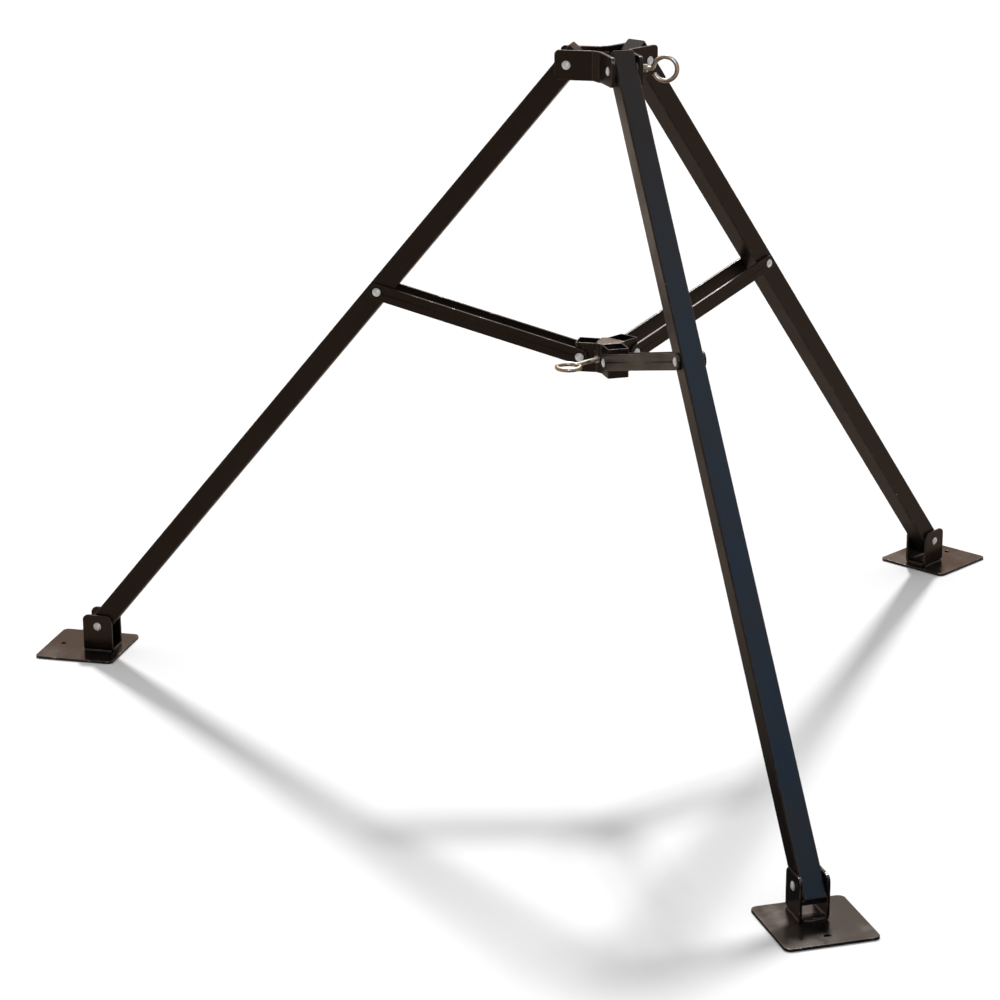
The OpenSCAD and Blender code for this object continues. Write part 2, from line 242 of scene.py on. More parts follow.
def flatBar(corners, bend, thick, width, cornerRadius, edge, origin, ex, ey, ez):
    # A flat bar bent in the plane of ex and ey, with its width along ez. Near each end its half width is
    # w/2 - r + sqrt(r^2 - (r - d)^2), which rounds the corners, and both halves draw in over the edge.
    d = np.unique(np.r_[edge * (1 - np.cos(quarter(3))), cornerRadius * (1 - np.cos(quarter(10)))])
    path, heading = bentPath(corners, bend, d)
    draw = edge - np.sqrt(np.maximum(edge ** 2 - np.maximum(edge - d, 0) ** 2, 0))
    half = width / 2 - cornerRadius + np.sqrt(np.maximum(
        cornerRadius ** 2 - np.maximum(cornerRadius - d, 0) ** 2, 0)) - draw
    ends = np.exp(-(np.minimum(d, 1) / 0.0015) ** 2)
    plain = len(path) - 2 * len(d)
    halfWidth = np.r_[half, np.full(plain, width / 2), half[::-1]]
    halfThick = thick / 2 - np.r_[draw, np.zeros(plain), draw[::-1]]
    flat, wear = roundOutline(rectangle(halfThick, halfWidth), edge)
    wear = np.maximum(wear[None], np.r_[ends, np.zeros(plain), ends[::-1]][:, None])
    out = np.stack([heading[:, 1], -heading[:, 0]], 1)
    centre = origin + path[:, :1] * ex + path[:, 1:] * ey
    side = out[:, :1] * ex + out[:, 1:] * ey
    rings = centre[:, None] + flat[..., :1] * side[:, None] + flat[..., 1:] * ez
    return gridShape(rings, wear)


def turnedShape(radii, heights, wear, origin, ex, ey, ez, steps=40):
    # A profile (radius, height) turned about ez; the first and last points lie on the axis
    t = np.linspace(0, 2 * np.pi, steps, endpoint=False)
    round_ = np.cos(t)[:, None] * ex + np.sin(t)[:, None] * ey
    radii, heights = np.asarray(radii), np.asarray(heights)
    rings = origin + radii[1:-1, None, None] * round_ + heights[1:-1, None, None] * ez
    poles = (origin + heights[0] * ez, origin + heights[-1] * ez)
    return gridShape(rings, np.asarray(wear)[1:-1, None], poles=poles)


def ringShape(radii, heights, wear, origin, ex, ey, ez, steps=40):
    # A closed profile turned about ez, such as a washer
    t = np.linspace(0, 2 * np.pi, steps, endpoint=False)
    round_ = np.cos(t)[:, None] * ex + np.sin(t)[:, None] * ey
    rings = origin + np.asarray(radii)[:, None, None] * round_ + np.asarray(heights)[:, None, None] * ez
    return gridShape(rings, np.asarray(wear)[:, None], closePath=True)


def weldBead(start, end, outwards, size=0.003, ripple=0.0026, phase=0.0):
    # A roll of radius size (1 + 0.1 sin(2 pi (s + bow) / ripple)) along the joint; bow bends the ripples
    # into crescents, and the ends round off as sqrt(1 - (1 - d / reach)^2).
    length = np.linalg.norm(end - start)
    run, out = (end - start) / length, unit(outwards)
    side = np.cross(run, out)
    s = np.linspace(0, length, max(int(length / ripple * 9), 24))
    reach = min(1.4 * size, length / 2)
    near = np.minimum(np.minimum(s, length - s), reach)[:, None]
    t = np.linspace(0, 2 * np.pi, 20, endpoint=False)[None]
    bow = 0.5 * ripple * np.cos(t)
    swell = 1 + 0.09 * np.sin(2 * np.pi * (s[:, None] + bow) / ripple + phase)
    swell = swell + 0.07 * np.sin(s[:, None] * 310 + 3 * phase) * np.cos(t + phase)
    taper = np.sqrt(np.maximum(1 - (1 - near / reach) ** 2, 0.0009))
    r = (size * swell * taper)[..., None]
    sway = 0.12 * size * np.sin(s * 190 + phase)[:, None, None] * side
    section = np.cos(t)[..., None] * out * 0.85 + np.sin(t)[..., None] * side
    rings = start + s[:, None, None] * run + sway + r * section
    return gridShape(rings, 0.25 * np.ones((len(s), 1)), poles=(start, end))


# Shader groups: effects that several finishes share
def addNode(tree, kind, settings=None, **inputs):
    # An input that is a socket is linked; anything else is its value. _ stands for a space.
    node = tree.nodes.new(kind)
    for key, value in (settings or {}).items():
        setattr(node, key, value)
    for key, value in inputs.items():
        put(tree, value, node.inputs[key.replace("_", " ")])
    return node


def put(tree, value, socket):
    if isinstance(value, bpy.types.NodeSocket):
        tree.links.new(value, socket)
    else:
        socket.default_value = value


def maths(tree, operation, a, b):
    node = tree.nodes.new("ShaderNodeMath")
    node.operation = operation
    put(tree, a, node.inputs[0])
    put(tree, b, node.inputs[1])
    return node.outputs[0]


def mixed(tree, factor, a, b):
    node = addNode(tree, "ShaderNodeMix", {"data_type": "RGBA"})
    for value, index in ((factor, 0), (a, 6), (b, 7)):
        put(tree, value, node.inputs[index])
    return node.outputs[2]


def spread(tree, value, low, high, toLow, toHigh, style="SMOOTHSTEP"):
    node = addNode(tree, "ShaderNodeMapRange", {"interpolation_type": style}, Value=value)
    for name, number in (("From Min", low), ("From Max", high), ("To Min", toLow), ("To Max", toHigh)):
        put(tree, number, node.inputs[name])
    return node.outputs[0]


def newGroup(name, inputs, outputs):
    group = bpy.data.node_groups.new(name, "ShaderNodeTree")
    group.interface.new_socket("Vector", in_out="INPUT", socket_type="NodeSocketVector")
    for label, value in inputs.items():
        group.interface.new_socket(label, in_out="INPUT", socket_type="NodeSocketFloat").default_value = value
    for label in outputs:
        group.interface.new_socket(label, in_out="OUTPUT", socket_type="NodeSocketFloat")
    return group, group.nodes.new("NodeGroupInput").outputs, group.nodes.new("NodeGroupOutput").inputs


def noise(tree, vector, scale, detail=3.0, roughness=0.5):
    return addNode(tree, "ShaderNodeTexNoise", Vector=vector, Scale=scale, Detail=detail,
                   Roughness=roughness).outputs["Fac"]


# Orange peel: the soft dimples of sprayed powder and a finer grit in them
coatPeel, source, sink = newGroup("coatPeel", {"Peel": 420.0, "Grit": 2600.0}, ["Height"])
peel = noise(coatPeel, source["Vector"], source["Peel"], 2.0)
grit = noise(coatPeel, source["Vector"], source["Grit"], 2.0, 0.7)
put(coatPeel, maths(coatPeel, "ADD", peel, maths(coatPeel, "MULTIPLY", grit, 0.22)), sink["Height"])

# Edge wear: paint thins and chips where the edge attribute is high, in patches; the lighter thinned paint
# also serves as a painted highlight along the edges
edgeWearAndHighlight, source, sink = newGroup("edgeWearAndHighlight", {"Patches": 60.0, "Amount": 0.5}, ["Thin", "Chips"])
edge = addNode(edgeWearAndHighlight, "ShaderNodeAttribute", {"attribute_name": "edge"}).outputs["Fac"]
patch = noise(edgeWearAndHighlight, source["Vector"], source["Patches"], 5.0, 0.65)
speck = noise(edgeWearAndHighlight, source["Vector"], maths(edgeWearAndHighlight, "MULTIPLY", source["Patches"], 14.0), 3.0, 0.6)
patch = maths(edgeWearAndHighlight, "ADD", patch, maths(edgeWearAndHighlight, "MULTIPLY", speck, 0.45))
worn = maths(edgeWearAndHighlight, "MULTIPLY", edge, patch)
limit = maths(edgeWearAndHighlight, "SUBTRACT", 1.12, maths(edgeWearAndHighlight, "MULTIPLY", source["Amount"], 0.6))
put(edgeWearAndHighlight, spread(edgeWearAndHighlight, worn, maths(edgeWearAndHighlight, "SUBTRACT", limit, 0.45), limit, 0.0, 1.0), sink["Thin"])
put(edgeWearAndHighlight, spread(edgeWearAndHighlight, worn, limit, maths(edgeWearAndHighlight, "ADD", limit, 0.06), 0.0, 1.0), sink["Chips"])

# Handling marks: long thin scuffs along the surface and broad smudges of dust and grease
handling, source, sink = newGroup("handling", {"Along": 14.0, "Across": 900.0}, ["Scuffs", "Smudges"])
stretch = addNode(handling, "ShaderNodeCombineXYZ", X=source["Along"], Y=source["Across"], Z=1.0).outputs[0]
surface = addNode(handling, "ShaderNodeUVMap", {"uv_map": "surface"}).outputs[0]
lines = addNode(handling, "ShaderNodeVectorMath", {"operation": "MULTIPLY"})
put(handling, surface, lines.inputs[0])
put(handling, stretch, lines.inputs[1])
thin = noise(handling, lines.outputs[0], 1.0, 3.0, 0.6)
where = noise(handling, source["Vector"], 23.0, 3.0, 0.6)
scuffs = maths(handling, "MULTIPLY", spread(handling, thin, 0.64, 0.74, 0.0, 1.0),
               spread(handling, where, 0.52, 0.68, 0.0, 1.0))
put(handling, scuffs, sink["Scuffs"])
smudges = noise(handling, source["Vector"], 7.0, 5.0, 0.62)
put(handling, spread(handling, smudges, 0.35, 0.72, 0.0, 1.0), sink["Smudges"])

# Drawn metal: fine lines that follow the surface, and cloudy plating over them
drawnMetal, source, sink = newGroup("drawnMetal", {"Lines": 2500.0, "Clouds": 130.0}, ["Grain", "Clouds"])
surface = addNode(drawnMetal, "ShaderNodeUVMap", {"uv_map": "surface"}).outputs[0]
scale = addNode(drawnMetal, "ShaderNodeCombineXYZ", X=source["Lines"], Y=60.0, Z=1.0).outputs[0]
lines = addNode(drawnMetal, "ShaderNodeVectorMath", {"operation": "MULTIPLY"})
put(drawnMetal, surface, lines.inputs[0])
put(drawnMetal, scale, lines.inputs[1])
put(drawnMetal, noise(drawnMetal, lines.outputs[0], 1.0, 3.0, 0.7), sink["Grain"])
put(drawnMetal, noise(drawnMetal, source["Vector"], source["Clouds"], 4.0, 0.6), sink["Clouds"])


def newMaterial(name):
    material = bpy.data.materials.new(name)
    material.use_nodes = True
    tree = material.node_tree
    shader = tree.nodes["Principled BSDF"]
    return material, tree, shader, addNode(tree, "ShaderNodeTexCoord").outputs["Object"]


def useGroup(tree, group, place, **values):
    node = tree.nodes.new("ShaderNodeGroup")
    node.node_tree = group
    put(tree, place, node.inputs["Vector"])
    for key, value in values.items():
        node.inputs[key].default_value = value
    return node.outputs


def paintFinish(name, values):
    material, tree, shader, place = newMaterial(name)
    height = useGroup(tree, coatPeel, place, Peel=values["peel"], Grit=values["grit"])["Height"]
    wear = useGroup(tree, edgeWearAndHighlight, place, Patches=values["patches"], Amount=values["wear"])
    marks = useGroup(tree, handling, place, Along=values["scuffLength"], Across=values["scuffWidth"])
    # Smudge tone: dust, and on the hub plate also a painted sheen
    tone = mixed(tree, marks["Smudges"], values["paint"], values["dustAndSheen"])
    tone = mixed(tree, maths(tree, "MULTIPLY", marks["Scuffs"], values["scuffs"]), tone, values["scuffed"])
    # Lighter thinned paint on the edges: partly wear and partly a painted edge highlight
    tone = mixed(tree, maths(tree, "MULTIPLY", wear["Thin"], 0.6), tone, values["thin"])
    tone = mixed(tree, wear["Chips"], tone, values["bare"])
    gloss = spread(tree, marks["Smudges"], 0.0, 1.0, values["rough"], values["rough"] + 0.12)
    gloss = maths(tree, "ADD", gloss, maths(tree, "MULTIPLY", marks["Scuffs"], 0.12))
    put(tree, tone, shader.inputs["Base Color"])
    put(tree, gloss, shader.inputs["Roughness"])
    put(tree, maths(tree, "MULTIPLY", wear["Chips"], 0.75), shader.inputs["Metallic"])
    shader.inputs["Specular IOR Level"].default_value = values["sheen"]
    shader.inputs["Specular Tint"].default_value = values["sheenTint"]
    relief = maths(tree, "SUBTRACT", height, maths(tree, "MULTIPLY", wear["Chips"], 1.2))
    bump = addNode(tree, "ShaderNodeBump", Strength=values["relief"], Distance=0.0001, Height=relief)
    put(tree, bump.outputs[0], shader.inputs["Normal"])
    return material


def metalFinish(name, values):
    material, tree, shader, place = newMaterial(name)
    metal = useGroup(tree, drawnMetal, place, Lines=values["lines"], Clouds=values["clouds"])
    wear = useGroup(tree, edgeWearAndHighlight, place, Patches=90.0, Amount=values["wear"])
    tone = mixed(tree, spread(tree, metal["Clouds"], 0.3, 0.7, 0.0, 1.0), values["bright"], values["dull"])
    streaks = spread(tree, metal["Grain"], 0.35, 0.75, 0.0, values["streaks"])
    tone = mixed(tree, streaks, tone, values["streak"])
    tone = mixed(tree, maths(tree, "MULTIPLY", wear["Thin"], 0.5), tone, values["polished"])
    put(tree, tone, shader.inputs["Base Color"])
    gloss = spread(tree, metal["Clouds"], 0.25, 0.75, values["rough"], values["rough"] + 0.14)
    put(tree, gloss, shader.inputs["Roughness"])
    shader.inputs["Metallic"].default_value = values["metal"]
    bump = addNode(tree, "ShaderNodeBump", Strength=values["relief"], Distance=0.00005, Height=metal["Grain"])
    put(tree, bump.outputs[0], shader.inputs["Normal"])
    return material


blackPaint = {
    "paint": (0.0050, 0.0042, 0.0036, 1), "dustAndSheen": (0.0085, 0.0070, 0.0060, 1),
    # thin: lighter paint on the edges, partly wear and partly a painted edge highlight
    "scuffed": (0.045, 0.040, 0.036, 1), "thin": (0.030, 0.026, 0.023, 1), "bare": (0.32, 0.30, 0.28, 1),
    "sheen": 0.42, "sheenTint": (1.0, 0.78, 0.64, 1),
    "rough": 0.30, "peel": 420.0, "grit": 2600.0, "relief": 0.5, "patches": 60.0, "wear": 0.36,
    "scuffLength": 14.0, "scuffWidth": 900.0, "scuffs": 0.35,
}
legFinish = paintFinish("legPaint", blackPaint)
forkFinish = paintFinish("forkPaint", {**blackPaint, "rough": 0.27, "wear": 0.52, "peel": 520.0})
braceFinish = paintFinish("bracePaint", {**blackPaint, "rough": 0.30, "wear": 0.46, "scuffs": 0.5})
footFinish = paintFinish("footPaint", {
    **blackPaint, "rough": 0.16, "wear": 0.50, "relief": 0.35, "peel": 300.0, "sheen": 0.6})
# The hub plate's light smudge tone is partly dust and partly a painted sheen for the plate's reflection of
# the bright backdrop
hubFinish = paintFinish("hubPlatePaint", {
    **blackPaint, "rough": 0.22, "wear": 0.7, "sheen": 0.8, "dustAndSheen": (0.050, 0.041, 0.035, 1), "scuffs": 0.8})
# Weld beads: heavy wear gives thin and bare patches on the ripples, partly wear and partly painted highlights
weldFinish = paintFinish("weldPaint", {
    **blackPaint, "rough": 0.2, "wear": 1.4, "patches": 140.0, "sheen": 0.7})
zincFinish = metalFinish("zincPlate", {
    "bright": (0.82, 0.71, 0.56, 1), "dull": (0.60, 0.52, 0.41, 1), "streak": (0.45, 0.40, 0.34, 1),
    "polished": (0.95, 0.90, 0.82, 1), "streaks": 0.4, "rough": 0.24, "lines": 900.0, "clouds": 160.0,
    "relief": 0.25, "wear": 0.6, "metal": 1.0,
})
rivetFinish = metalFinish("rivetSteel", {
    "bright": (0.93, 0.93, 0.92, 1), "dull": (0.74, 0.74, 0.73, 1), "streak": (0.50, 0.49, 0.48, 1),
    "polished": (0.97, 0.97, 0.96, 1), "streaks": 0.3, "rough": 0.34, "lines": 2400.0, "clouds": 260.0,
    "relief": 0.3, "wear": 0.7, "metal": 0.35,
})
print("finishes made")

# Legs
leg = {"width": 0.0381, "wall": 0.0021, "corner": 0.003, "pastPivot": 0.028, "sawnEdge": 0.0005,
       "cap": 0.003, "capEdge": 0.0008}
halfLeg = leg["width"] / 2
for side in sides:
    sideways = sidewaysOf(outward[side])
    face = np.cross(sideways, legUp[side])
    foot = footPivot[side] - legUp[side] * leg["pastPivot"]
    sawn = legLength + 2 * leg["pastPivot"] - leg["cap"]
    tube = tubeShape(rectangle(halfLeg, halfLeg)[0], leg["corner"], leg["wall"], sawn, leg["sawnEdge"], foot,
                     face, sideways, legUp[side], rows=40)
    cap = slabShape(rectangle(halfLeg, halfLeg)[0], leg["corner"], leg["cap"], leg["capEdge"],
                    foot + sawn * legUp[side], face, sideways, legUp[side], inset=0.001)
    makePiece("legTube_" + side, [tube, cap], "leg_" + side, legFinish, ["leg_" + side])
print("legs made")

# Rivets: a low dome with a rolled rim and a driven centre
rivet = {"shank": 0.00475, "dome": 0.0075, "height": 0.0032, "rim": 0.0006, "dimple": 0.0017,
         "sunk": 0.0005, "lead": 0.0004}
domeBall = (rivet["dome"] ** 2 + rivet["height"] ** 2) / (2 * rivet["height"])


def domeProfile():
    # Radius and height from the centre out: dimple, ball of radius domeBall, rim
    r = np.linspace(rivet["dimple"], rivet["dome"] * 0.955, 12)
    ball = np.sqrt(domeBall ** 2 - r ** 2) - (domeBall - rivet["height"])
    radii = np.r_[0, 0.35 * rivet["dimple"], 0.8 * rivet["dimple"], r, rivet["dome"], rivet["dome"]]
    ball[0] -= 0.00005
    heights = np.r_[ball[0] - rivet["sunk"] * np.array([1, 0.94, 0.5]), ball, rivet["rim"] * 0.7, 0]
    wear = np.r_[0, 0, 0.8, np.linspace(1, 0.2, 12), 1, 0.2]
    return radii, heights, wear


def wholeRivet(face, pivot, sideways):
    radii, heights, wear = domeProfile()
    shank = rivet["shank"]
    profile = np.r_[radii, shank, shank, radii[::-1]]
    reach = np.r_[face + heights, face, -face, -(face + heights[::-1])]
    wear = np.r_[wear, 0, 0, wear[::-1]]
    return turnedShape(profile, reach, wear, pivot, up, np.cross(sideways, up), sideways)


# Head
head = {"height": 0.0508, "thick": 0.00635, "gap": 0.00235, "out": 0.091, "middle": 0.0365, "corner": 0.008,
        "bend": 0.011, "edge": 0.0009, "coreHeight": 0.040, "coreWall": 0.004, "coreGap": 0.0004,
        "coreRound": 0.0015, "coreEdge": 0.0006}
headWeld = {"coreHalf": 0.0085, "coreSize": 0.0026, "coreRipple": 0.0024,
            "kneeInset": 0.002, "kneeSunk": 0.0004, "kneeSize": 0.0016, "kneeRipple": 0.0042}
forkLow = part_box("head_fork_front_right")[0].z
earFace = halfLeg + head["gap"] + head["thick"]
sin60, cos60 = np.sin(np.pi / 3), 0.5


def forkPoint(along, faceOff, side):
    return [along * cos60 + faceOff * sin60, side * (along * sin60 - faceOff * cos60)]


forkCentre = earFace - head["thick"] / 2
forkKnee = (head["middle"] - head["thick"] / 2 - forkCentre * sin60) / cos60
forkPath = [forkPoint(head["out"], forkCentre, -1), forkPoint(forkKnee, forkCentre, -1),
            forkPoint(forkKnee, forkCentre, 1), forkPoint(head["out"], forkCentre, 1)]
forkNodes = {"front": "head_fork_front_right", "right": "head_fork_right_left",
             "left": "head_fork_left_front"}
for side, node in forkNodes.items():
    middleHeight = axis + up * (forkLow + head["height"] / 2)
    fork = flatBar(forkPath, head["bend"], head["thick"], head["height"], head["corner"], head["edge"],
                   middleHeight, between[side], sidewaysOf(between[side]), up)
    makePiece("fork_" + side, [fork], "head", forkFinish, [node])

forkInner = head["middle"] - head["thick"]
coreStop = headRadius - leg["pastPivot"] * tiltSin - halfLeg * tiltCos - head["coreGap"]
coreHalf = (forkInner - coreStop * cos60) / sin60
coreCorners = np.array([coreStop * outward[side] - s * coreHalf * sidewaysOf(outward[side])
                        for side in sides for s in (1, -1)])[:, :2]
core = tubeShape(coreCorners, head["coreRound"], head["coreWall"], head["coreHeight"], head["coreEdge"],
                 axis + up * forkLow, np.array([1.0, 0, 0]), np.array([0, 1.0, 0]), up, rows=4, inset=0.0006)
coreWelds = []
for side in sides:
    for number, z in enumerate((forkLow + head["coreHeight"], forkLow)):
        seam = axis + up * z + between[side] * forkInner
        run = sidewaysOf(between[side]) * headWeld["coreHalf"]
        lean = (up if number == 0 else -up) - 0.6 * between[side]
        coreWelds.append(weldBead(seam - run, seam + run, lean, headWeld["coreSize"],
                                  headWeld["coreRipple"], 1.3 * number))
kneeHalf = (head["middle"] - earFace * sin60) / cos60 * sin60 - earFace * cos60
kneeWelds = []
for number, side in enumerate(sides):
    for s in (-1, 1):
        knee = (axis + between[side] * (head["middle"] - headWeld["kneeSunk"]) +
                s * kneeHalf * sidewaysOf(between[side]))
        low, high = forkLow + headWeld["kneeInset"], forkLow + head["height"] - headWeld["kneeInset"]
        kneeWelds.append(weldBead(knee + up * low, knee + up * high, between[side], headWeld["kneeSize"],
                                  headWeld["kneeRipple"], number + 2.0 * s))
makePiece("headCore", [core], "head", forkFinish, ["head_core"])
makePiece("headWelds", coreWelds + kneeWelds, "head", weldFinish, [])

washer = {"thick": 0.002, "radius": 0.013, "hole": 0.0049, "edge": 0.0003}
washerShapes = []
for side in sides:
    sideways = sidewaysOf(outward[side])
    makePiece("headRivet_" + side, [wholeRivet(earFace, headPivot[side], sideways)], "head",
              rivetFinish, ["head_rivet_" + side])
    for s in (-1, 1):
        place = headPivot[side] + s * (earFace - head["thick"] - washer["thick"] / 2) * sideways
        half, hole, rim, e = washer["thick"] / 2, washer["hole"], washer["radius"], washer["edge"]
        washerShapes.append(ringShape(
            [hole, rim - e, rim, rim, rim - e, hole], [-half, -half, e - half, half - e, half, half],
            [0, 0.6, 1, 1, 0.6, 0], place, up, np.cross(sideways, up), sideways))
makePiece("headWashers", washerShapes, "head", rivetFinish, ["head_washers"])
print("head made")

# Eyebolts: one wire that bends up out of its shank and round into an eye
eye = {"wire": 0.0039, "radius": 0.0202, "headOut": 0.0945, "hubOut": 0.103, "open": 22.0, "neck": 0.006,
       "pitch": 0.00125, "threadDepth": 0.0004, "nutWidth": 0.0127, "nutThick": 0.0064, "jamOut": 0.0514,
       "headPast": 0.002, "hubPast": 0.001, "headThread": 0.066, "hubThread": 0.052}


def eyebolt(start, threadEnd, out, origin, ex, ez):
    # Shank along ex, a neck arc of radius n whose centre is sqrt(R^2 + 2 R n) before the eye's, then the eye
    ey = np.cross(ez, ex)
    radius, neck = eye["radius"], eye["neck"]
    back = np.sqrt(radius ** 2 + 2 * radius * neck)
    lean = np.arctan2(neck, back)
    neckX = out - back
    straight = np.r_[start + 0.0006 * (1 - np.cos(quarter(2)))[:-1],
                     np.arange(start + 0.0006, threadEnd, eye["pitch"] / 8),
                     np.linspace(threadEnd, neckX, 8, endpoint=False)]
    bend = np.linspace(0, np.pi / 2 - lean, 14, endpoint=False)
    round_ = np.linspace(np.pi - lean, -np.pi + np.radians(eye["open"]), 96)
    x = np.r_[straight, neckX + neck * np.sin(bend), out + radius * np.cos(round_)]
    z = np.r_[0 * straight, neck * (1 - np.cos(bend)), radius * np.sin(round_)]
    headX = np.r_[0 * straight + 1, np.cos(bend), np.sin(round_)]
    headZ = np.r_[0 * straight, np.sin(bend), -np.cos(round_)]
    size = np.full(len(x), eye["wire"])
    size[:2] -= 0.0006 * (1 - np.sin(quarter(2)))[:2]
    size[-3:] -= 0.0009 * np.array([0, 0.3, 1.0])
    t = np.linspace(0, 2 * np.pi, 28, endpoint=False)
    turns = (x[:, None] / eye["pitch"] - t / (2 * np.pi)) % 1
    fade = np.clip((threadEnd - x) / 0.002, 0, 1) * (z == 0) * (x > start + 0.0012)
    r = size[:, None] - eye["threadDepth"] * np.abs(2 * turns - 1) * fade[:, None]
    side = -headZ[:, None] * ex + headX[:, None] * ez
    centre = origin + x[:, None] * ex + z[:, None] * ez
    rings = centre[:, None] + r[..., None] * (np.cos(t)[:, None] * side[:, None] + np.sin(t)[:, None] * ey)
    wear = np.where(fade[:, None] > 0, 0.3 + 0.7 * (r > eye["wire"] - 0.00015), 0.25)
    return gridShape(rings, wear)


def hexNut(start, origin, ex, ez):
    # Flats at w/2 / cos(angle from the flat); the cone chamfer lowers each corner by (R - rc) tan 30
    ey = np.cross(ez, ex)
    t = np.linspace(0, 2 * np.pi, 72, endpoint=False)
    half, thick, bore, lead = eye["nutWidth"] / 2, eye["nutThick"], eye["wire"], 0.0004
    corner = half / np.cos((t + np.pi / 6) % (np.pi / 3) - np.pi / 6)
    crown = 0.95 * half
    fall = (corner - crown) * 0.577
    flat = np.ones_like(t)
    radii = np.stack([bore * flat, (bore + lead) * flat, crown * flat, corner, corner,
                      crown * flat, (bore + lead) * flat, bore * flat])
    reach = np.stack([lead * flat, 0 * flat, 0 * flat, fall, thick - fall, thick * flat, thick * flat,
                      (thick - lead) * flat])
    rings = (origin + (start + reach)[..., None] * ex +
             radii[..., None] * (np.cos(t)[:, None] * ez + np.sin(t)[:, None] * ey))
    wear = np.stack([0 * flat, 0.4 * flat, 0.6 * flat, corner > 1.08 * half, corner > 1.08 * half,
                     0.6 * flat, 0.4 * flat, 0 * flat])
    return gridShape(rings, wear, closePath=True)


coreInner = forkInner - head["coreWall"]
headEye = axis + up * middle("head_eyebolt")[2]
shank = coreInner - eye["nutThick"] - eye["headPast"]
makePiece("headEyebolt", [eyebolt(shank, eye["headThread"], eye["headOut"], headEye, between["front"], up)],
          "head", zincFinish, ["head_eyebolt"])
makePiece("headEyeboltNuts", [hexNut(x, headEye, between["front"], up)
                              for x in (coreInner - eye["nutThick"], head["middle"], eye["jamOut"],
                                        eye["jamOut"] + eye["nutThick"])],
          "head", zincFinish, ["head_eyebolt_nuts"])

# Hub
hub = {"inner": 0.0174, "plate": 0.004, "web": 0.0035, "sawnEdge": 0.0007,
       "weldSize": 0.0024, "rimSize": 0.0022, "weldInset": 0.001, "weldSunk": 0.0004}
hubLow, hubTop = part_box("hub_tube_front")[0].z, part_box("hub_tube_front")[1].z
for side in sides:
    sideways = sidewaysOf(outward[side])
    place = axis + up * hubLow + outward[side] * (hub["inner"] + halfLeg)
    tube = tubeShape(rectangle(halfLeg, halfLeg)[0], leg["corner"], leg["wall"], hubTop - hubLow,
                     hub["sawnEdge"], place, outward[side], sideways, up, rows=8)
    makePiece("hubTube_" + side, [tube], "hub", forkFinish, ["hub_tube_" + side])

webFace = hub["inner"] * cos60 + halfLeg * sin60
webHalf = hub["inner"] * sin60 - halfLeg * cos60
webs, hubWelds = [], []
for number, side in enumerate(sides):
    sideways = sidewaysOf(between[side])
    webHigh = hubTop - hub["plate"]
    webs.append(slabShape(rectangle(webHalf, (webHigh - hubLow) / 2)[0], 0.0006, hub["web"], 0.0005,
                          axis + up * (webHigh + hubLow) / 2 + between[side] * (webFace - hub["web"]),
                          -sideways, up, between[side], inset=0.0008, steps=3))
    for s in (-1, 1):
        seam = axis + between[side] * (webFace - hub["weldSunk"]) + s * webHalf * sideways
        low, high = hubLow + hub["weldInset"], webHigh - hub["weldInset"]
        hubWelds.append(weldBead(seam + up * low, seam + up * high, between[side] - 0.2 * s * sideways,
                                 hub["weldSize"], hub["weldSize"], 0.9 * number + s))
    rim = axis + up * (hubTop - 0.0012) + between[side] * webFace
    hubWelds.append(weldBead(rim - webHalf * sideways, rim + webHalf * sideways,
                             between[side] + 0.5 * up, hub["rimSize"], hub["rimSize"], number))
makePiece("hubWebs", webs, "hub", forkFinish, ["hub_webs"])
makePiece("hubWelds", hubWelds, "hub", weldFinish, [])

plateCorners = np.array([hub["inner"] * outward[side] + s * halfLeg * sidewaysOf(outward[side])
                         for side in sides for s in (-1, 1)])[:, :2]
plate = slabShape(plateCorners, 0.001, hub["plate"], 0.0007, axis + up * (hubTop - hub["plate"]),
                  np.array([1.0, 0, 0]), np.array([0, 1.0, 0]), up, inset=0.001, steps=3)
makePiece("hubPlate", [plate], "hub", hubFinish, ["hub_plate"])

brace = {"height": 0.028, "thick": 0.00476, "gap": 0.0006, "edge": 0.0007, "hubClear": 0.0003}
barFace = halfLeg + brace["gap"] + brace["thick"]
for side in sides:
    makePiece("hubRivet_" + side,
              [wholeRivet(barFace + brace["hubClear"], hubPivot[side], sidewaysOf(outward[side]))],
              "hub", rivetFinish, ["hub_rivet_" + side])

hubEye = axis + up * middle("hub_eyebolt")[2]
hubEyeUp = -sidewaysOf(between["left"])
shank = webFace - hub["web"] - eye["nutThick"] - eye["hubPast"]
makePiece("hubEyebolt", [eyebolt(shank, eye["hubThread"], eye["hubOut"], hubEye, between["left"], hubEyeUp)],
          "hub", zincFinish, ["hub_eyebolt"])
makePiece("hubEyeboltNuts", [hexNut(x, hubEye, between["left"], hubEyeUp)
                             for x in (webFace - hub["web"] - eye["nutThick"], webFace)],
          "hub", zincFinish, ["hub_eyebolt_nuts"])
print("hub made")

